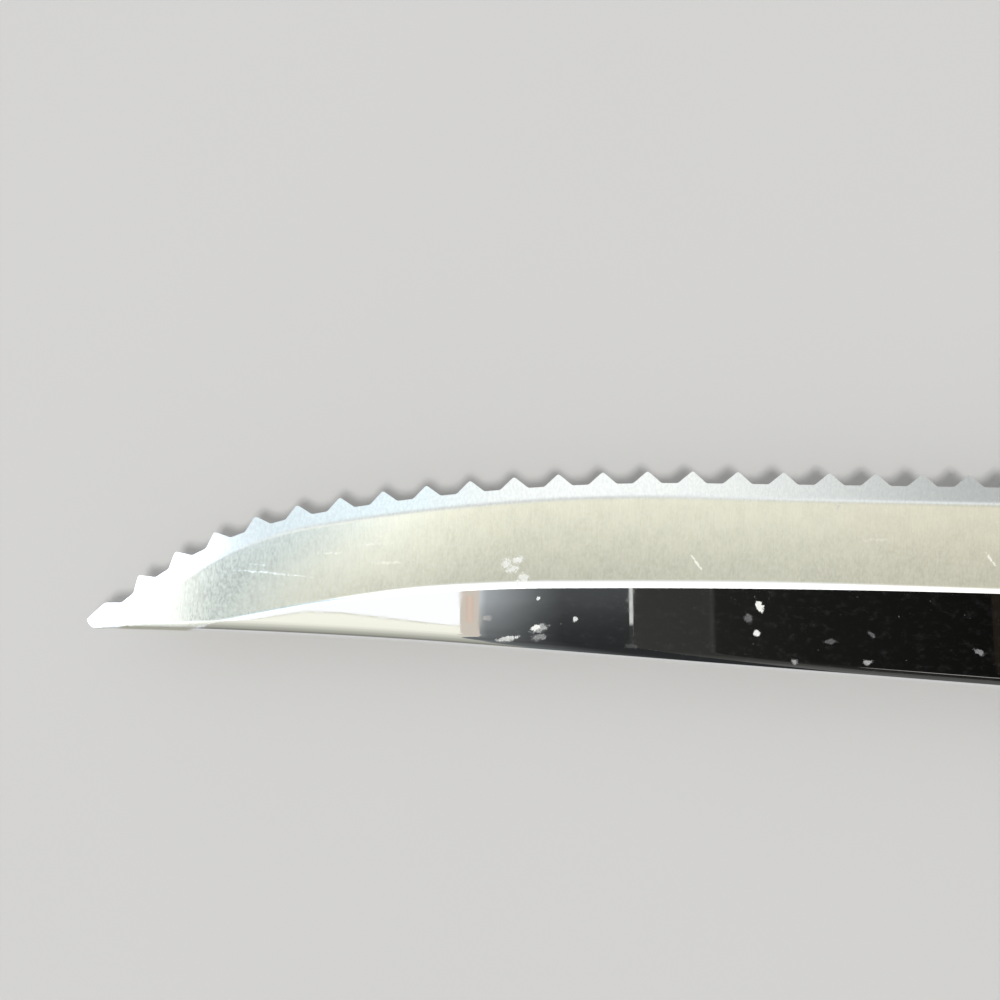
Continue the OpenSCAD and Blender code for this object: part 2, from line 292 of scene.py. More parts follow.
def scale_t(u):
    nose = np.minimum(1, u / NOSE_L)
    return (NOSE_T + (CROWN_T - NOSE_T) * np.sqrt(1 - (1 - nose) ** 2)) * butt_share(u) ** BUTT_THIN


# Sections along the handle, from its front: close together on the nose and on the butt
NOSE_SECTIONS = 17
RUN_STEP = 1.5
RUN_GAP = 0.5
BUTT_SECTIONS = 28
BUTT_LAST = 89
NOSE_US = NOSE_L * np.linspace(0, 1, NOSE_SECTIONS) ** 2
RUN_US = np.arange(NOSE_L + RUN_STEP, HANDLE_L - BUTT_L - RUN_GAP, RUN_STEP)
BUTT_US = HANDLE_L - BUTT_L * (1 - np.sin(np.radians(np.linspace(0, BUTT_LAST, BUTT_SECTIONS))))
HANDLE_US = np.concatenate([NOSE_US, RUN_US, BUTT_US])

# Points of one section of a scale, the groove along its seam, and the corners of round holes
SECTION_POINTS = 57
SEAM_GROOVE = 0.1
TANG_HOLE_SIDES = 48
SCALE_HOLE_SIDES = 64
CUT_OVER = 1.0

# Edges sharper than this many degrees stay sharp, and points nearer than this many metres are one
BLADE_SHARP = 28
SCALE_SHARP = 30
OUTLINE_NEAR = 1e-6
MESH_NEAR = 0.3e-6


def new_object(name, data):
    """A mesh, lamp or camera as an object in the scene."""
    thing = bpy.data.objects.new(name, data)
    bpy.context.scene.collection.objects.link(thing)
    return thing


def new_piece(name, bm, node, material):
    """A finished mesh as an object of its own that stands for one node."""
    mesh = bpy.data.meshes.new(name)
    bmesh.ops.recalc_face_normals(bm, faces=bm.faces)
    bm.to_mesh(mesh)
    bm.free()
    mesh.materials.append(material)
    piece = new_object(name, mesh)
    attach(piece, "root")
    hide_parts(node)
    return piece


def smooth_shade(piece, angle):
    piece.data.polygons.foreach_set("use_smooth", [True] * len(piece.data.polygons))
    piece.data.set_sharp_from_angle(angle=math.radians(angle))


def in_part(points):
    """Knife millimetres to the part's metres."""
    return (np.asarray(points) - ORIGIN) * MM


# The blade's grid: columns across the blade from the edge to the spine, rows along it
BAND_ROWS = 6
SEAM_ROWS = 14
HOLLOW_ROWS = 13
SHOULDER_ROWS = 10
FLAT_ROWS = 5
EASE_ROWS = 9
SEAM_START = 2.2
SEAM_END = 3.6
SHOULDER_REACH = 0.6
TIP_COLUMNS = 13
TIP_CROWDING = 1.5
FLOOR_COLUMNS = 3
FLANK_COLUMNS = 5
HEEL_COLUMNS = 10
CHOIL_COLUMNS = 12
CHOIL_FIRST = 8
RICASSO_COLUMNS = 7

# Columns at the corner of a gullet's floor and at the point of a tooth, as distances from it, and the room
# that is left for them
GULLET_CORNER = np.array([-0.08, -0.02, 0.04, 0.1])
GULLET_ROOM = (0.15, 0.2)
TOOTH_POINT = np.array([0.2, 0.13, 0.07])
TOOTH_ROOM = 0.28

# How far the feet of the columns at the tip are drawn along the spine, and the rounds that find a foot
TIP_FOOT_RUN = 4.0
FOOT_ROUNDS = 20

# Least widths of the groups of rows, and the most of the room that each takes where the blade is narrow
EASE_ROOM = 1.15
EASE_SHARE = 0.35
BAND_LEAST = 1.4
BAND_SHARE = 0.4
SEAM_LEAST = 0.5
SEAM_SHARE = 0.5
HOLLOW_SHARES = (0.45, 0.75)
SHOULDER_LEAST = 0.05
SHOULDER_SHARE = 0.6

# Points along a column that find the grind line, and along the edge that find the nearest to a vertex
GRIND_SAMPLES = 400
EDGE_SAMPLES = 600


def column_stops():
    """Where the columns start along the edge: fine at the corners of each tooth and gullet."""
    floor = GULLET_W / 2
    half = TOOTH_PITCH / 2
    side = np.concatenate([
        np.linspace(0, floor - GULLET_ROOM[0], FLOOR_COLUMNS),
        floor + GULLET_CORNER,
        np.linspace(floor + GULLET_ROOM[1], half - TOOTH_ROOM, FLANK_COLUMNS),
        half - TOOTH_POINT,
    ])
    tooth = np.concatenate([-side[:0:-1], side, [half]])
    tip = EDGE_START + TIP_PLAIN * np.linspace(0, 1, TIP_COLUMNS) ** TIP_CROWDING
    gullets = [tooth_at(i + 0.5) + tooth for i in range(TEETH)]
    heel = np.linspace(tooth_at(TEETH), EDGE_END, HEEL_COLUMNS)[1:]
    return np.concatenate([tip, *gullets, heel])


def blade_columns():
    """Each column's start on the tooth line, foot on the spine, depth of the outline and slope of the line.

    The last value is the number of columns along the edge, in front of those of the choil and the ricasso.
    """
    s = column_stops()
    start = edge_point(s)
    slope = edge_slope(s)
    inward = np.stack([np.sin(slope), -np.cos(slope)], axis=-1)
    length = start[:, 1] - spine_y(start[:, 0])
    for _ in range(FOOT_ROUNDS):
        foot = start + inward * length[:, None]
        length = length + (foot[:, 1] - spine_y(foot[:, 0])) / -inward[:, 1]
    tip_foot = start[0, 0] + TIP_LEAN
    foot_x = foot[:, 0] + (tip_foot - foot[0, 0]) * np.exp(-(s - EDGE_START) / TIP_FOOT_RUN)
    foot = np.stack([foot_x, spine_y(foot_x)], axis=-1)
    turn = np.radians(np.linspace(CHOIL_FIRST, 90, CHOIL_COLUMNS))
    choil_x = BLADE_L + CHOIL_R * (1 - np.cos(turn))
    ricasso_x = np.linspace(BLADE_L + CHOIL_R, HANDLE_X, RICASSO_COLUMNS)[1:]
    rear_x = np.concatenate([choil_x, ricasso_x])
    rear_depth = np.concatenate([CHOIL_R * np.sin(turn), np.full_like(ricasso_x, CHOIL_R)])
    rear_start = np.stack([rear_x, np.full_like(rear_x, POINT_DROP)], axis=-1)
    rear_foot = np.stack([rear_x, spine_y(rear_x)], axis=-1)
    return (np.concatenate([start, rear_start]), np.concatenate([foot, rear_foot]),
            np.concatenate([outline_depth(s), rear_depth]),
            np.concatenate([slope, np.zeros_like(rear_x)]), len(s))


def row_stops(start, foot, depth):
    """Distances along each column at which its rows lie."""
    across = foot - start
    length = np.linalg.norm(across, axis=1)
    t = np.linspace(0, 1, GRIND_SAMPLES)[None, :, None]
    line = start[:, None] + across[:, None] * t
    inside = grind_distance(line[..., 0], line[..., 1]) > 0
    grind = inside.mean(axis=1) * length
    eased = length - np.minimum(EASE_W * EASE_ROOM, length * EASE_SHARE)
    band = np.minimum(np.maximum(SEAM_END, depth + BAND_LEAST), depth + (eased - depth) * BAND_SHARE)
    seam = np.minimum(np.maximum(SEAM_START, depth + SEAM_LEAST), depth + (band - depth) * SEAM_SHARE)
    low = np.maximum(grind - SHOULDER_REACH, band + (eased - band) * HOLLOW_SHARES[0])
    low = np.minimum(low, band + (eased - band) * HOLLOW_SHARES[1])
    high = np.maximum(grind + SHOULDER_REACH, low + SHOULDER_LEAST)
    high = np.minimum(high, low + (eased - low) * SHOULDER_SHARE)
    stops = [depth, seam, band, low, high, eased, length]
    counts = [BAND_ROWS, SEAM_ROWS, HOLLOW_ROWS, SHOULDER_ROWS, FLAT_ROWS, EASE_ROWS]
    rows = [depth[:, None]]
    for a, b, n in zip(stops, stops[1:], counts):
        rows.append(a[:, None] + (b - a)[:, None] * np.linspace(0, 1, n + 1)[None, 1:])
    return np.concatenate(rows, axis=1) / length[:, None]


def add_grid(bm, points, flip):
    """Quads between the neighbouring points of a grid, and its vertices."""
    verts = [[bm.verts.new(p) for p in column] for column in points]
    for a, b in zip(verts, verts[1:]):
        for r in range(len(a) - 1):
            quad = [a[r], b[r], b[r + 1], a[r + 1]]
            bm.faces.new(quad[::-1] if flip else quad)
    return verts


def add_wall(bm, upper, lower):
    for a, b, c, d in zip(upper, upper[1:], lower[1:], lower):
        bm.faces.new([a, b, c, d])


def tang_loops(front):
    """The tang's outline as one loop that starts with the front column, then its three holes."""
    us = HANDLE_US[1:]
    belly = np.stack([HANDLE_X + us, AXIS_Y + middle_v(us) + half_v(us)], axis=-1)
    spine = np.stack([HANDLE_X + us, AXIS_Y + middle_v(us) - half_v(us)], axis=-1)
    turn = np.linspace(0, 2 * np.pi, TANG_HOLE_SIDES, endpoint=False)
    ring = RIVET_HOLE_R * np.stack([np.cos(turn), np.sin(turn)], axis=-1)
    return [np.concatenate([front, spine, belly[::-1]])] + [ring + (x, AXIS_Y) for x in RIVETS]


def add_tang(bm, front_upper, front_lower, front):
    """The flat tang behind the blade, with its holes and its edges."""
    loops = tang_loops(front)
    points = np.concatenate(loops)
    edges = []
    first = 0
    for loop in loops:
        n = len(loop)
        edges += [(first + i, first + (i + 1) % n) for i in range(n)]
        first += n
    inside_only = 1
    flat, _, faces, *_ = geometry.delaunay_2d_cdt(
        [Vector(p) for p in points], edges, [], inside_only, OUTLINE_NEAR)
    if len(flat) != len(points):
        raise ValueError("the tang's outline meets itself")
    shared = len(front_upper)
    sides = []
    for z, joined in ((HALF_T, front_upper), (-HALF_T, front_lower)):
        rest = [bm.verts.new(in_part((*p, z))) for p in points[shared:]]
        sides.append(list(joined) + rest)
    for face in faces:
        centre = np.mean([points[i] for i in face], axis=0)
        if all(np.linalg.norm(centre - (x, AXIS_Y)) > RIVET_HOLE_R for x in RIVETS):
            for side in sides:
                bm.faces.new([side[i] for i in face])
    for i, j in edges:
        if not (i < shared and j < shared):
            bm.faces.new([sides[0][i], sides[0][j], sides[1][j], sides[1][i]])


def build_blade(material):
    """Blade and full tang: tapered flats, hollow grind with its shoulder, bevelled and serrated edge."""
    start, foot, depth, slope, edge_columns = blade_columns()
    share = row_stops(start, foot, depth)
    plan = start[:, None] + (foot - start)[:, None] * share[..., None]
    # The blunt tip is rounded instead of cut straight
    bulge = TIP_BULGE * np.exp(-(start[:, 0] - start[0, 0]) / TIP_BULGE_RUN)
    across = (foot - start) / np.linalg.norm(foot - start, axis=1)[:, None]
    outward = np.stack([across[:, 1], -across[:, 0]], axis=-1)
    plan = plan + outward[:, None] * (bulge[:, None] * 4 * share * (1 - share))[..., None]
    normal = np.stack([-np.sin(slope), np.cos(slope)], axis=-1)
    edge_d = np.maximum(np.einsum("crk,ck->cr", start[:, None] - plan, normal), 0)
    x, y = plan[..., 0], plan[..., 1]
    top = upper_z(x, y, edge_d)
    bottom = -top
    cut = gullet_z(edge_d, depth[:, None])
    bottom[:edge_columns] = np.maximum(bottom, cut)[:edge_columns]
    bottom[:edge_columns, 0] = top[:edge_columns, 0]
    bm = bmesh.new()
    upper = add_grid(bm, in_part(np.stack([x, y, top], axis=-1)), False)
    lower = add_grid(bm, in_part(np.stack([x, y, bottom], axis=-1)), True)
    add_wall(bm, [c[0] for c in upper], [c[0] for c in lower])
    add_wall(bm, [c[-1] for c in lower], [c[-1] for c in upper])
    add_wall(bm, lower[0], upper[0])
    add_tang(bm, upper[-1], lower[-1], plan[-1])
    bmesh.ops.remove_doubles(bm, verts=bm.verts, dist=MESH_NEAR)
    piece = new_piece("blade_steel", bm, "blade", material)
    smooth_shade(piece, BLADE_SHARP)
    paint_finish(piece)


def paint_finish(piece):
    """Marks where the steel is mirror polished, where it is the ground edge band, and where it is tang."""
    co = np.zeros(len(piece.data.vertices) * 3)
    piece.data.vertices.foreach_get("co", co)
    x, y, _ = (co.reshape(-1, 3) / MM + ORIGIN).T
    line = edge_point(np.linspace(EDGE_START, EDGE_END, EDGE_SAMPLES))
    near = np.array([np.min(np.hypot(line[:, 0] - a, line[:, 1] - b)) for a, b in zip(x, y)])
    over_bevel = np.minimum(flat_z(x), hollow_z(x, y)) - bevel_z(near)
    band = smooth_step(*BAND_FADE, over_bevel) * (1 - smooth_step(*BAND_LIMIT, near)) * (x < BAND_END)
    beyond = grind_distance(x, y) - through(POLISH_REACH, x)
    polish = 1 - smooth_step(-POLISH_FADE, POLISH_FADE, beyond)
    polish = np.maximum(polish, smooth_step(*PLUNGE_POLISH, plunge_distance(x, y)))
    tang = smooth_step(HANDLE_X - TANG_FADE, HANDLE_X + TANG_FADE, x)
    for name, values in (("polish", polish), ("band", band), ("tang", tang)):
        layer = piece.data.attributes.new(name, "FLOAT", "POINT")
        layer.data.foreach_set("value", values.astype(np.float32))


def scale_section(u):
    """One section of a scale, from the spine side over the crown to the edge side."""
    a = np.radians(np.linspace(180, 0, SECTION_POINTS))
    across = np.sign(np.cos(a)) * np.abs(np.cos(a)) ** (2 / SECTION_N)
    up = np.sin(a).clip(0) ** (2 / SECTION_N)
    v = middle_v(u) + half_v(u) * across
    w = soft_min(HALF_T + scale_t(u) * up, HANDLE_HALF_T + 0 * up, FLAT_BLEND)
    # A fine groove where the scale meets the tang
    v = np.concatenate([[v[0] + SEAM_GROOVE], v, [v[-1] - SEAM_GROOVE]])
    w = np.concatenate([[HALF_T], w, [HALF_T]])
    w[1] = w[-2] = HALF_T + SEAM_GROOVE
    return np.stack([np.full_like(v, HANDLE_X + u), AXIS_Y + v, w], axis=-1)


def add_ring(bm, turns, x, radius, z):
    points = [(x + radius * math.cos(a), AXIS_Y + radius * math.sin(a), z) for a in turns]
    return [bm.verts.new(in_part(p)) for p in points]


def hole_cutter():
    """The stepped holes for the three rivets as one cutting mesh."""
    bm = bmesh.new()
    turns = np.linspace(0, 2 * np.pi, SCALE_HOLE_SIDES, endpoint=False)
    step_z = HANDLE_HALF_T - HEAD_T
    top_z = HANDLE_HALF_T + CUT_OVER
    steps = [(RIVET_HOLE_R, 0), (RIVET_HOLE_R, step_z), (HEAD_HOLE_R, step_z), (HEAD_HOLE_R, top_z)]
    for x in RIVETS:
        rings = [add_ring(bm, turns, x, radius, z) for radius, z in steps]
        for a, b in zip(rings, rings[1:]):
            for i in range(len(turns)):
                j = (i + 1) % len(turns)
                bm.faces.new([a[i], a[j], b[j], b[i]])
        bm.faces.new(rings[0][::-1])
        bm.faces.new(rings[-1])
    mesh = bpy.data.meshes.new("hole_cutter")
    bm.to_mesh(mesh)
    bm.free()
    return new_object("hole_cutter", mesh)


def build_scale(name, node, side, material):
    """One moulded scale; side is 1 for the upper, right-hand one and -1 for the lower."""
    bm = bmesh.new()
    sections = np.array([scale_section(u) for u in HANDLE_US])
    verts = add_grid(bm, in_part(sections), False)
    for ring in (verts[0], verts[-1]):
        bm.faces.new(ring)
    add_wall(bm, [c[0] for c in verts], [c[-1] for c in verts])
    piece = new_piece(name, bm, node, material)
    cutter = hole_cutter()
    drill = piece.modifiers.new("rivet_holes", "BOOLEAN")
    drill.operation = "DIFFERENCE"
    drill.solver = "EXACT"
    drill.object = cutter
    graph = bpy.context.evaluated_depsgraph_get()
    drilled = bpy.data.meshes.new_from_object(piece.evaluated_get(graph))
    piece.modifiers.clear()
    piece.data = drilled
    bpy.data.objects.remove(cutter)
    if side < 0:
        middle = HANDLE_HALF_T * MM
        drilled.transform(Matrix.Translation((0, 0, middle)) @ Matrix.Scale(-1, 4, (0, 0, 1))
                          @ Matrix.Translation((0, 0, -middle)))
        drilled.flip_normals()
    smooth_shade(piece, SCALE_SHARP)


class Nodes:
    """Adds nodes to one node tree and links them."""

    # Places of the two values and of the result among a mix node's sockets
    COLOUR_SOCKETS = (6, 7, 2)
    NUMBER_SOCKETS = (2, 3, 0)

    def __init__(self, tree):
        self.tree = tree

    def add(self, kind, settings=None, **sockets):
        node = self.tree.nodes.new(kind)
        for name, value in (settings or {}).items():
            setattr(node, name, value)
        for name, value in sockets.items():
            self.put(node.inputs[name], value)
        return node

    def put(self, socket, value):
        if isinstance(value, bpy.types.NodeSocket):
            self.tree.links.new(value, socket)
        else:
            socket.default_value = value

    def math(self, operation, a, b=0.0):
        node = self.add("ShaderNodeMath", {"operation": operation})
        self.put(node.inputs[0], a)
        self.put(node.inputs[1], b)
        return node.outputs[0]

    def mix(self, factor, a, b):
        """Blend of two numbers, or of two colours."""
        colour = isinstance(a, tuple) or getattr(a, "type", "") == "RGBA"
        node = self.add("ShaderNodeMix", {"data_type": "RGBA" if colour else "FLOAT"})
        self.put(node.inputs["Factor"], factor)
        first, second, result = self.COLOUR_SOCKETS if colour else self.NUMBER_SOCKETS
        self.put(node.inputs[first], a)
        self.put(node.inputs[second], b)
        return node.outputs[result]

    def ramp(self, value, low, high, to_low=0.0, to_high=1.0):
        node = self.add("ShaderNodeMapRange", {"interpolation_type": "SMOOTHSTEP"}, Value=value)
        for name, number in (("From Min", low), ("From Max", high), ("To Min", to_low), ("To Max", to_high)):
            self.put(node.inputs[name], number)
        return node.outputs[0]

    def millimetres(self, stretch=(1, 1, 1)):
        """Object coordinates in millimetres, stretched per axis."""
        place = self.add("ShaderNodeTexCoord").outputs["Object"]
        scale = tuple(k / MM for k in stretch)
        return self.add("ShaderNodeMapping", Vector=place, Scale=scale).outputs[0]

    def noise(self, stretch, detail=2.0, roughness=0.5):
        """Noise with the given number of features per millimetre along each axis."""
        node = self.add("ShaderNodeTexNoise", Vector=self.millimetres(stretch), Scale=1.0, Detail=detail,
                        Roughness=roughness)
        return node.outputs["Fac"]

    def attribute(self, name):
        return self.add("ShaderNodeAttribute", {"attribute_name": name}).outputs["Fac"]

    def worn_place(self, size, reach):
        """Object coordinates pushed about by noise, so that marks placed in them get ragged outlines."""
        place = self.add("ShaderNodeTexCoord").outputs["Object"]
        push = self.add("ShaderNodeTexNoise", Vector=self.millimetres((size, size, size)), Scale=1.0,
                        Detail=3.0)
        push = self.add("ShaderNodeVectorMath", {"operation": "SUBTRACT"}, Vector=push.outputs["Color"])
        push.inputs[1].default_value = (0.5, 0.5, 0.5)
        moved = self.add("ShaderNodeVectorMath", {"operation": "MULTIPLY_ADD"}, Vector=push.outputs[0])
        moved.inputs[1].default_value = (reach * MM, reach * MM, 0)
        self.put(moved.inputs[2], place)
        return moved.outputs[0]

    def spot(self, place, grit, x, y, length, width, turn, strength):
        """An oval mark on the upper side of the steel, in millimetres and degrees, that grit breaks up."""
        centre = tuple(in_part((x, y, HALF_T)))
        local = self.add("ShaderNodeMapping", {"vector_type": "TEXTURE"}, Vector=place, Location=centre,
                         Rotation=(0, 0, math.radians(turn)), Scale=(length * MM, width * MM, MM))
        far = self.add("ShaderNodeVectorMath", {"operation": "LENGTH"}, Vector=local.outputs[0])
        near = self.ramp(far.outputs["Value"], 1.0, 0.0)
        return self.ramp(self.math("ADD", near, grit), 0.3, 0.75, 0.0, strength)


def new_material(name):
    material = bpy.data.materials.new(name)
    material.use_nodes = True
    nodes = Nodes(material.node_tree)
    shader = material.node_tree.nodes["Principled BSDF"]
    return material, nodes, shader


# Pale residue on the upper side of the blade, and scratches: x, y, length and width in millimetres, turn in
# degrees, and how pale each is
RESIDUE = [
    (47.0, 0.2, 0.9, 0.5, 27, 0.95), (47.4, 0.1, 1.6, 0.9, 20, 0.2), (47.4, -0.8, 1.6, 0.7, 12, 0.15),
    (44.2, -1.1, 2.2, 0.5, 10, 0.4), (51.0, 1.1, 0.5, 0.5, 0, 0.35), (47.1, 3.1, 0.4, 0.4, 0, 0.85),
    (42.1, 1.0, 1.0, 0.6, 17, 0.08), (56.7, -1.5, 1.4, 0.5, 0, 0.05), (43.7, 6.7, 1.0, 1.0, 0, 0.8),
    (44.9, 7.1, 1.2, 0.9, 22, 0.9), (44.4, 6.1, 1.2, 0.8, 11, 0.7), (45.5, 5.3, 0.9, 1.0, 0, 0.7),
    (45.0, 4.6, 0.4, 0.8, 0, 0.6), (69.2, 2.8, 1.0, 0.6, -57, 1.0), (69.0, 0.1, 0.6, 0.6, 0, 0.7),
    (68.1, 1.6, 0.9, 0.7, -39, 0.1), (76.1, -0.5, 1.0, 0.5, 12, 0.1), (80.1, 0.3, 0.9, 0.4, -45, 0.1),
    (90.4, -1.2, 1.1, 0.5, -24, 0.15), (72.7, -2.6, 0.6, 0.6, 0, 0.3), (79.8, -2.5, 0.8, 0.5, 7, 0.25),
    (81.6, 11.1, 0.5, 1.0, 0, 0.5), (76.7, 13.2, 0.8, 0.9, 0, 0.6),
]
SCRATCHES = [
    (18.8, 5.2, 8.0, 0.3, -4, 0.8), (18.3, 6.0, 4.6, 0.26, -4, 0.4), (25.3, 7.4, 3.6, 0.3, 4, 0.3),
    (31.5, 6.5, 3.2, 0.4, -1, 0.2), (62.8, 7.1, 2.0, 0.28, -54, 0.8), (91.4, 8.1, 1.8, 0.28, -56, 0.8),
    (19.5, 8.3, 5.2, 0.3, 7, 0.25), (30.1, 8.4, 5.2, 0.4, 6, 0.15), (80.8, 9.8, 3.9, 0.4, 4, 0.15),
]


def most(nodes, masks):
    """The strongest of several masks at each place."""
    total = masks[0]
    for mask in masks[1:]:
        total = nodes.math("MAXIMUM", total, mask)
    return total


# Steel: colours, and the roughness of each finish
SATIN_DARK = (0.51, 0.50, 0.415, 1)
SATIN_PALE = (0.57, 0.555, 0.46, 1)
SATIN_GRAIN = (0.62, 0.61, 0.53, 1)
SATIN_STREAK = (0.49, 0.475, 0.40, 1)
BAND_DARK = (0.80, 0.82, 0.82, 1)
BAND_PALE = (0.88, 0.90, 0.89, 1)
POLISHED = (0.93, 0.935, 0.94, 1)
TANG_DARK = (0.55, 0.55, 0.54, 1)
TANG_PALE = (0.68, 0.68, 0.67, 1)
SCRATCH_COLOUR = (0.92, 0.91, 0.84, 1)
RESIDUE_COLOUR = (0.93, 0.925, 0.86, 1)
SATIN_ROUGH = (0.10, 0.15)
BAND_ROUGH = 0.14
POLISH_ROUGH = (0.006, 0.03)
TANG_ROUGH = 0.32
RESIDUE_ROUGH = 0.6
SMEAR = 0.018
STEEL_BUMP = 0.08
GRAIN_DEPTH = 0.02 * MM


def blade_material():
    """Steel with a satin hollow, a finer ground edge band, mirror flats, residue and fine scratches."""
    material, nodes, shader = new_material("blade_steel")
    polish = nodes.attribute("polish")
    band = nodes.attribute("band")
    tang = nodes.attribute("tang")
    streak = nodes.noise((7, 0.5, 7), 3, 0.6)
    fine = nodes.noise((4.5, 2.2, 4.5), 3, 0.65)
    mottle = nodes.noise((0.7, 0.5, 0.5), 4, 0.65)
    satin = nodes.mix(nodes.ramp(mottle, 0.3, 0.7), SATIN_DARK, SATIN_PALE)
    satin = nodes.mix(nodes.ramp(fine, 0.3, 0.7, 0.0, 0.6), satin, SATIN_GRAIN)
    satin = nodes.mix(nodes.ramp(streak, 0.35, 0.75, 0.0, 0.35), satin, SATIN_STREAK)
    ground = nodes.mix(nodes.ramp(fine, 0.3, 0.7), BAND_DARK, BAND_PALE)
    colour = nodes.mix(band, satin, ground)
    colour = nodes.mix(polish, colour, POLISHED)
    colour = nodes.mix(tang, colour, nodes.mix(streak, TANG_DARK, TANG_PALE))
    grit = nodes.math("MULTIPLY", nodes.math("SUBTRACT", nodes.noise((3.2, 3.2, 3.2), 3, 0.65), 0.5), 1.6)
    place = nodes.worn_place(0.5, 0.3)
    smear = nodes.ramp(nodes.noise((0.9, 1.3, 1), 4, 0.7), 0.5, 0.8, 0.0, SMEAR)
    smear = nodes.math("MULTIPLY", polish, smear)
    residue = most(nodes, [nodes.spot(place, grit, *mark) for mark in RESIDUE] + [smear])
    scratch = most(nodes, [nodes.spot(place, grit, *mark) for mark in SCRATCHES])
    colour = nodes.mix(scratch, colour, SCRATCH_COLOUR)
    colour = nodes.mix(residue, colour, RESIDUE_COLOUR)
    rough = nodes.mix(nodes.ramp(fine, 0.2, 0.8), *SATIN_ROUGH)
    rough = nodes.mix(band, rough, BAND_ROUGH)
    rough = nodes.mix(polish, rough, nodes.ramp(mottle, 0.35, 0.75, *POLISH_ROUGH))
    rough = nodes.mix(tang, rough, TANG_ROUGH)
    height = nodes.math("ADD", nodes.math("MULTIPLY", streak, 0.7), nodes.math("MULTIPLY", fine, 0.3))
    keep = nodes.math("SUBTRACT", 1.0, nodes.math("MULTIPLY", polish, 0.99))
    strength = nodes.math("MULTIPLY", keep, STEEL_BUMP)
    bump = nodes.add("ShaderNodeBump", Strength=strength, Distance=GRAIN_DEPTH, Height=height)
    nodes.put(shader.inputs["Base Color"], colour)
    nodes.put(shader.inputs["Metallic"], nodes.math("SUBTRACT", 1.0, residue))
    nodes.put(shader.inputs["Roughness"], nodes.mix(residue, rough, RESIDUE_ROUGH))
    nodes.put(shader.inputs["Normal"], bump.outputs[0])
    return material


# Plastic and rivets: colours, and roughness
PLASTIC_DARK = (0.012, 0.012, 0.013, 1)
PLASTIC_PALE = (0.022, 0.022, 0.023, 1)
PLASTIC_WORN = (0.045, 0.045, 0.046, 1)
PLASTIC_ROUGH = (0.36, 0.46)
WORN_ROUGH = 0.55
PLASTIC_SPECULAR = 0.38
PLASTIC_BUMP = 0.22
PLASTIC_GRAIN_DEPTH = 0.03 * MM
RIVET_DARK = (0.58, 0.57, 0.54, 1)
RIVET_PALE = (0.74, 0.73, 0.70, 1)
RIVET_SCUFF = (0.50, 0.49, 0.46, 1)
RIVET_ROUGH = (0.26, 0.38)
RIVET_BUMP = 0.15
RIVET_CORNER = 0.12 * MM
RIVET_CORNER_STEPS = 3
RIVET_SHARP = 50
RIVET_NEAR = 1e-6


def scale_material():
    """Black moulded plastic with a fine satin grain and faint handling wear."""
    material, nodes, shader = new_material("scale_plastic")
    grain = nodes.noise((6, 6, 6), 4, 0.6)
    cloud = nodes.noise((0.12, 0.25, 0.25), 3)
    wear = nodes.ramp(nodes.noise((0.9, 5.0, 5.0), 4, 0.7), 0.62, 0.75, 0.0, 0.35)
    colour = nodes.mix(nodes.ramp(cloud, 0.3, 0.7), PLASTIC_DARK, PLASTIC_PALE)
    colour = nodes.mix(wear, colour, PLASTIC_WORN)
    rough = nodes.mix(nodes.ramp(cloud, 0.3, 0.7), *PLASTIC_ROUGH)
    bump = nodes.add("ShaderNodeBump", Strength=PLASTIC_BUMP, Distance=PLASTIC_GRAIN_DEPTH, Height=grain)
    nodes.put(shader.inputs["Base Color"], colour)
    nodes.put(shader.inputs["Roughness"], nodes.mix(wear, rough, WORN_ROUGH))
    shader.inputs["Specular IOR Level"].default_value = PLASTIC_SPECULAR
    nodes.put(shader.inputs["Normal"], bump.outputs[0])
    return material


def rivet_material():
    """Brushed rivet heads with the grain along the handle and a few darker scuffs."""
    material, nodes, shader = new_material("rivet_metal")
    streak = nodes.noise((0.6, 14, 14), 3, 0.6)
    cloud = nodes.noise((0.5, 0.5, 0.5), 3)
    colour = nodes.mix(nodes.ramp(streak, 0.3, 0.7), RIVET_DARK, RIVET_PALE)
    colour = nodes.mix(nodes.ramp(cloud, 0.5, 0.8, 0.0, 0.25), colour, RIVET_SCUFF)
    bump = nodes.add("ShaderNodeBump", Strength=RIVET_BUMP, Distance=GRAIN_DEPTH, Height=streak)
    nodes.put(shader.inputs["Base Color"], colour)
    shader.inputs["Metallic"].default_value = 1.0
    nodes.put(shader.inputs["Roughness"], nodes.mix(nodes.ramp(cloud, 0.3, 0.7), *RIVET_ROUGH))
    nodes.put(shader.inputs["Normal"], bump.outputs[0])
    return material


def dress_rivets(material):
    """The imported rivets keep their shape: a fine eased corner and the brushed material."""
    for name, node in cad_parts.items():
        if "rivet" in name:
            node.data.materials.clear()
            node.data.materials.append(material)
            weld = node.modifiers.new("weld", "WELD")
            weld.merge_threshold = RIVET_NEAR
            corner = node.modifiers.new("eased_corner", "BEVEL")
            corner.width = RIVET_CORNER
            corner.segments = RIVET_CORNER_STEPS
            corner.limit_method = "ANGLE"
            corner.angle_limit = math.radians(RIVET_SHARP)


# Camera: the photograph's viewing angle, as tilts of the view from straight above the blade
VIEW_DISTANCE = 228.0
VIEW_CENTRE = (42.75, 13.13)
VIEW_TILT_X = 8.8
VIEW_TILT_Y = 13.17
VIEW_TURN = 2.94
IMAGE_WIDTH = 1000
FOCAL_PIXELS = 2250
SENSOR_WIDTH = 36
CLIP_START = 0.01


def tilted(tilt_x, tilt_y):
    """The direction straight up, tilted towards +X and towards -Y by so many degrees."""
    return Vector((math.tan(math.radians(tilt_x)), -math.tan(math.radians(tilt_y)), 1)).normalized()


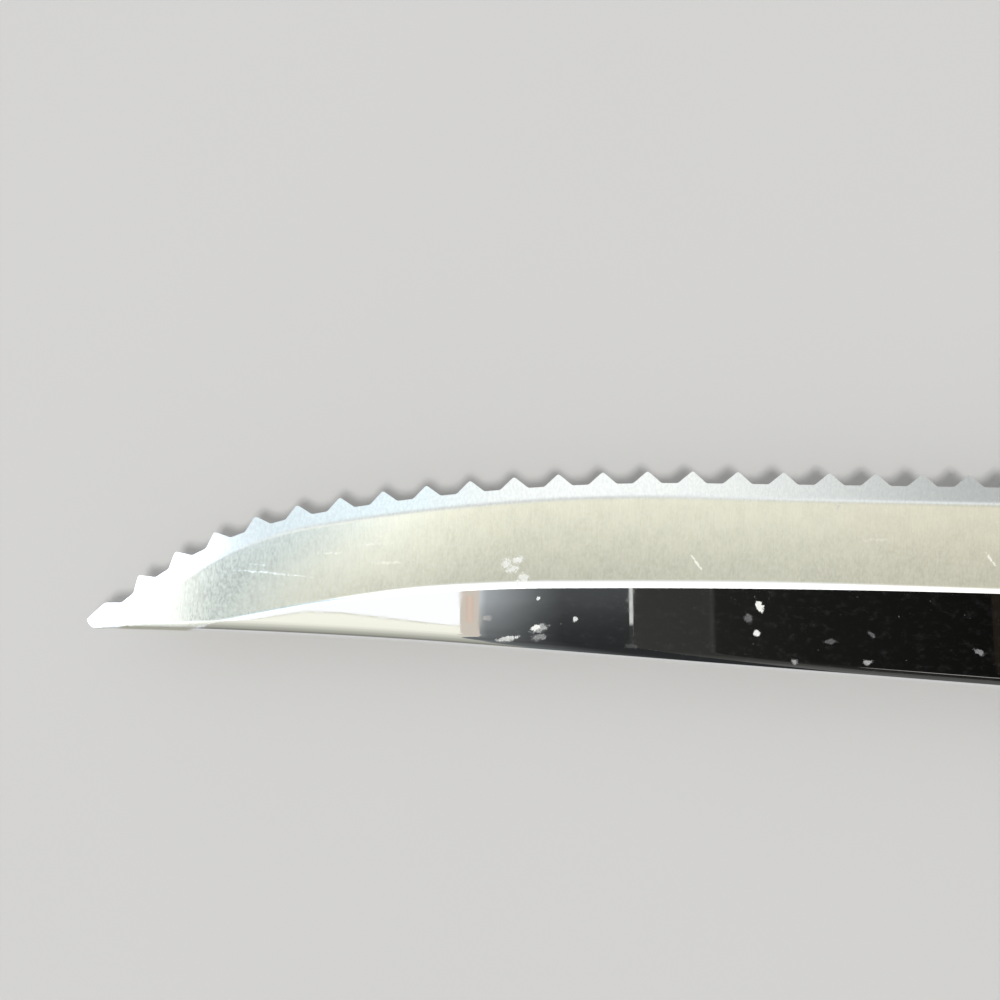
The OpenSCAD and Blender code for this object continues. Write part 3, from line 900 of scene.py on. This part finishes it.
def view_axes():
    """The camera's right, up and back directions in the part's frame."""
    back = tilted(VIEW_TILT_X, VIEW_TILT_Y)
    right = Vector((0, 1, 0)).cross(back).normalized()
    up = back.cross(right)
    turn = Matrix.Rotation(math.radians(VIEW_TURN), 3, "Z")
    return turn @ right, turn @ up, turn @ back


def build_camera():
    data = bpy.data.cameras.new("camera")
    data.sensor_width = SENSOR_WIDTH
    data.lens = SENSOR_WIDTH * FOCAL_PIXELS / IMAGE_WIDTH
    data.clip_start = CLIP_START
    camera = new_object("camera", data)
    right, up, back = view_axes()
    place = Vector(in_part((*VIEW_CENTRE, HALF_T))) + back * VIEW_DISTANCE * MM
    camera.matrix_world = Matrix.Translation(place) @ Matrix((right, up, back)).transposed().to_4x4()
    bpy.context.scene.camera = camera


# Floor: its reach in metres, and its two close shades
FLOOR_REACH = 4.0
FLOOR_DARK = (0.64, 0.63, 0.61, 1)
FLOOR_PALE = (0.68, 0.67, 0.65, 1)
FLOOR_ROUGH = 0.7


def floor_material():
    material, nodes, shader = new_material("floor")
    cloud = nodes.noise((0.01, 0.01, 0.01), 3)
    nodes.put(shader.inputs["Base Color"], nodes.mix(cloud, FLOOR_DARK, FLOOR_PALE))
    shader.inputs["Roughness"].default_value = FLOOR_ROUGH
    return material


def build_floor():
    """A plain pale sheet under the knife."""
    signs = [(-1, -1), (1, -1), (1, 1), (-1, 1)]
    corners = [(x * FLOOR_REACH, y * FLOOR_REACH, 0) for x, y in signs]
    mesh = bpy.data.meshes.new("floor")
    mesh.from_pydata(corners, [], [(0, 1, 2, 3)])
    mesh.materials.append(floor_material())
    new_object("floor", mesh)


def glow_material():
    """A card that glows in the colours given to its corners."""
    material = bpy.data.materials.new("card_glow")
    material.use_nodes = True
    material.node_tree.nodes.clear()
    nodes = Nodes(material.node_tree)
    tint = nodes.add("ShaderNodeAttribute", {"attribute_name": "glow"}).outputs["Color"]
    glow = nodes.add("ShaderNodeEmission", Color=tint)
    out = nodes.add("ShaderNodeOutputMaterial")
    nodes.put(out.inputs["Surface"], glow.outputs[0])
    return material


# Studio cards, hung level over the blade, that only glossy surfaces show. Each has stops across the view,
# with their glow and, for some, how far they are lifted up the view; rows up the view, with their share of
# that glow and how far they spread across; and a tint. Places are in millimetres from over the view's centre.
# A card hangs a little below the one before it, and so in front of it.
CARD_HEIGHT = 500.0
CARD_GAP = 0.1

# Bounds that several cards share, across the view and then up the view, and the spread of rows by their place
SLIT = (-36.0, -34.8)
WARM = (-91.9, -85.5)
DARK_END = 92
DARK_FAR = 92
STRIP_FAR = 178
FAN = [(-6000, 18.8), (-1500, 4.8), (-500, 2.1), (-60, 1.15), (60, 1)]


def fan_rows(share):
    """Rows from far below the view, where they spread wide, up to the blade, with one share of the glow."""
    return [(y, share, spread) for y, spread in FAN]


DARK_ROWS = fan_rows(1) + [(DARK_FAR, 1, 1)]
LEFT_ROWS = fan_rows(0.6) + [(71, 0.68, 1), (77, 1, 1), (83, 1.55, 1), (DARK_FAR, 1.8, 1)]
RIGHT_ROWS = [(-500, 2, 2.1)] + DARK_ROWS[3:]
SLIT_ROWS = fan_rows(0.06) + [(73.4, 0.06, 1), (74.8, 0.9, 1), (DARK_FAR, 1, 1)]
STRIP_ROWS = [(DARK_FAR, 1.6, 1), (140, 1.68, 1), (150, 1.46, 1), (161, 1.14, 1), (STRIP_FAR, 0.9, 1)]
CREAM = (1.0, 1.0, 0.87)
COOL_WHITE = (0.94, 1.0, 1.1)
CARDS = {
    "dark_left": (
        [(WARM[1] - 1, 0.45), (-83.2, 0.25), (-78, 0.195), (-66, 0.085), (-58, 0.045), (SLIT[0], 0.04)],
        LEFT_ROWS, (0.94, 1.0, 1.02)),
    "dark_right": (
        [(SLIT[1], 0.038), (-10.5, 0.032), (-9.2, 0.045), (-8, 0.016), (21, 0.01), (81, 0.005)],
        RIGHT_ROWS, (1.0, 1.0, 0.92)),
    "slit": (
        [(SLIT[0], 0.68), (SLIT[1], 0.68)],
        SLIT_ROWS, (0.98, 1.0, 0.95)),
    "brown_right": (
        [(79.5, 0.015), (DARK_END, 0.015)],
        RIGHT_ROWS, (1.0, 0.8, 0.6)),
    "dim_far": (
        [(SLIT[1], 0.13), (-8, 0.09), (DARK_END, 0.09)],
        [(-6000, 1, 18.8), (-1500, 1, 4.8), (-500, 0.8, 2.1)], (1.0, 1.0, 0.95)),
    "warm_edge": (
        [(WARM[0], 0.64), (WARM[1], 0.64)],
        DARK_ROWS, (1.0, 0.9, 0.78)),
    "warm_core": (
        [(-90, 0.64), (-88.6, 0.72), (-87.4, 0.64)],
        [(76, 1, 1), (85, 1, 1)], (1.0, 0.80, 0.67)),
    "cream": (
        [(-176, 0.98, 0), (-160, 0.98, 1.3), (-144, 0.98, 2.9), (-132, 0.98, 2.2), (WARM[0], 0.98, -3.6)],
        [(-60, 0.8, 1.15), (60, 0.9, 1), (77.7, 1, 1), (78.5, 0.66, 1)], CREAM),
    "low_left": (
        [(-900, 0.74), (WARM[1], 0.74)],
        [(-6000, 0.2, 18.8), (-1500, 0.35, 4.8), (-500, 0.6, 2.1), (-60, 1, 1.15)], CREAM),
    "strip": (
        [(-205, 1.42), (-119, 1.36), (-92, 1.06), (-59, 1.01), (7, 0.97), (74, 0.88), (125, 0.83),
         (300, 0.80)],
        STRIP_ROWS, (0.985, 1.0, 0.975)),
    "strip_warm": (
        [(40, 0.925), (74, 0.865), (125, 0.80), (300, 0.77)],
        STRIP_ROWS, (1.0, 0.985, 0.94)),
    "cool": (
        [(-300, 1.0), (-214, 0.66), (-197, 0.62), (-191, 1.2), (-177, 1.95)],
        [(DARK_FAR, 2.4, 0.62), (132, 2.2, 0.66), (142, 1.2, 0.69), (150, 1, 0.82), (161, 1, 1.0),
         (STRIP_FAR, 1, 1.12)],
        (0.83, 1.0, 1.22)),
    "cool_core": (
        [(-204, 0.08), (-186, 0.08)],
        [(146, 1, 0.93), (152, 1, 0.96), (158, 1, 1.0), (165, 1, 1.02)], (0.8, 1.0, 1.25)),
    "cool_high": (
        [(-262, 0.88), (-214, 0.90), (-175, 1.02), (-140, 1.12), (-110, 1.14)],
        [(STRIP_FAR, 1, 0.87), (250, 1, 1), (450, 1, 1.3)], (0.88, 1.0, 1.05)),
    "bright_high": (
        [(-110, 1.1), (-60, 1.2), (0, 1.1), (12, 1.0), (85, 0.52), (500, 0.42)],
        [(225, 1, 1), (450, 1, 1)], (0.98, 1.0, 0.98)),
    "seam": (
        [(-180, 0.80), (-110, 0.74), (-40, 0.80), (10, 1.0), (300, 0.95)],
        [(STRIP_FAR, 1, 1), (225, 1, 1)], (0.97, 1.0, 1.0)),
    "bright_left": (
        [(-900, 1.2), (-520, 1.2), (-400, 2.7), (-213, 2.7), (-206, 1.5)],
        [(-60, 1, 0.915), (60, 1, 0.9), (DARK_FAR, 1, 0.9), (140, 1, 0.93), (STRIP_FAR, 1, 1.09),
         (250, 1, 1.25), (600, 1, 1.8)],
        COOL_WHITE),
    "bright_under": (
        [(-900, 0.9), (-300, 0.9), (-255, 2.7), (-213, 2.7), (-206, 1.5)],
        [(-6000, 0.4, 11.0), (-1826, 0.5, 3.52), (-967, 0.7, 2.05), (-570, 0.85, 1.44), (-300, 1, 1.1),
         (-99, 1, 0.932), (-59, 1, 0.915)],
        COOL_WHITE),
    "key_card": (
        [(16, 0.3), (40, 0.6), (110, 0.6)],
        [(-170, 1, 1), (-140, 1, 1)], (1.0, 0.95, 0.9)),
}

# Key lamp, and the even surround: the light it casts, its levels in reflections from low to high, and its
# level behind the floor
KEY_TILT_X = 10.5
KEY_TILT_Y = 17.7
KEY_ANGLE = 8.0
KEY_ENERGY = 1.6
FILL_LEVEL = 0.5
FILL_COLOUR = (0.97, 0.98, 1.0, 1)
SURROUND_HEIGHTS = (-0.1, 0.7)
SURROUND_LEVELS = (0.55, 1.08)
SURROUND_COLOUR = (0.98, 0.99, 1.0, 1)
BACKGROUND_LEVEL = 0.95


def add_card(name, card, material, drop):
    """One card; drop is how far it hangs below the first, in millimetres."""
    across, up, tint = card
    centre = Vector(in_part((*VIEW_CENTRE, HALF_T)))
    turn = Matrix.Rotation(math.radians(VIEW_TURN), 3, "Z")
    points = []
    glows = []
    for y, share, spread in up:
        for x, level, *lift in across:
            spot = Vector((x * spread, y + sum(lift), CARD_HEIGHT - drop))
            points.append(centre + turn @ spot * MM)
            glows.append([level * share * k for k in tint] + [1])
    n = len(across)
    faces = [(r * n + c, r * n + c + 1, (r + 1) * n + c + 1, (r + 1) * n + c)
             for r in range(len(up) - 1) for c in range(n - 1)]
    mesh = bpy.data.meshes.new(name)
    mesh.from_pydata(points, [], faces)
    mesh.materials.append(material)
    layer = mesh.color_attributes.new("glow", "FLOAT_COLOR", "POINT")
    for corner, glow in zip(layer.data, glows):
        corner.color = glow
    sheet = new_object(name, mesh)
    sheet.visible_camera = False
    sheet.visible_diffuse = False
    sheet.visible_shadow = False
    sheet.visible_transmission = False


def build_cards():
    glow = glow_material()
    for i, (name, card) in enumerate(CARDS.items()):
        add_card(name, card, glow, i * CARD_GAP)


def build_key():
    """One soft lamp, which the steel does not mirror."""
    lamp = bpy.data.lights.new("key", "SUN")
    lamp.energy = KEY_ENERGY
    lamp.angle = math.radians(KEY_ANGLE)
    key = new_object("key", lamp)
    key.rotation_euler = tilted(KEY_TILT_X, KEY_TILT_Y).to_track_quat("Z", "Y").to_euler()
    key.visible_glossy = False


def build_surround():
    """An even pale surround that metal shows too."""
    world = bpy.data.worlds.new("surround")
    bpy.context.scene.world = world
    world.use_nodes = True
    world.node_tree.nodes.clear()
    nodes = Nodes(world.node_tree)
    path = nodes.add("ShaderNodeLightPath").outputs
    seen = nodes.math("MAXIMUM", path["Is Camera Ray"], path["Is Glossy Ray"])
    seen = nodes.math("MAXIMUM", seen, path["Is Transmission Ray"])
    direction = nodes.add("ShaderNodeTexCoord").outputs["Generated"]
    height = nodes.add("ShaderNodeSeparateXYZ", Vector=direction).outputs["Z"]
    level = nodes.ramp(height, *SURROUND_HEIGHTS, *SURROUND_LEVELS)
    level = nodes.mix(path["Is Camera Ray"], level, BACKGROUND_LEVEL)
    fill = nodes.add("ShaderNodeBackground", Color=FILL_COLOUR, Strength=FILL_LEVEL)
    shown = nodes.add("ShaderNodeBackground", Color=SURROUND_COLOUR, Strength=level)
    both = nodes.add("ShaderNodeMixShader", Fac=seen)
    nodes.put(both.inputs[1], fill.outputs[0])
    nodes.put(both.inputs[2], shown.outputs[0])
    out = nodes.add("ShaderNodeOutputWorld")
    nodes.put(out.inputs["Surface"], both.outputs[0])


bpy.context.scene.view_settings.view_transform = "Standard"
build_camera()
build_floor()
build_cards()
build_key()
build_surround()
build_blade(blade_material())
plastic = scale_material()
build_scale("right_scale_plastic", "right_scale", 1, plastic)
build_scale("left_scale_plastic", "left_scale", -1, plastic)
dress_rivets(rivet_material())
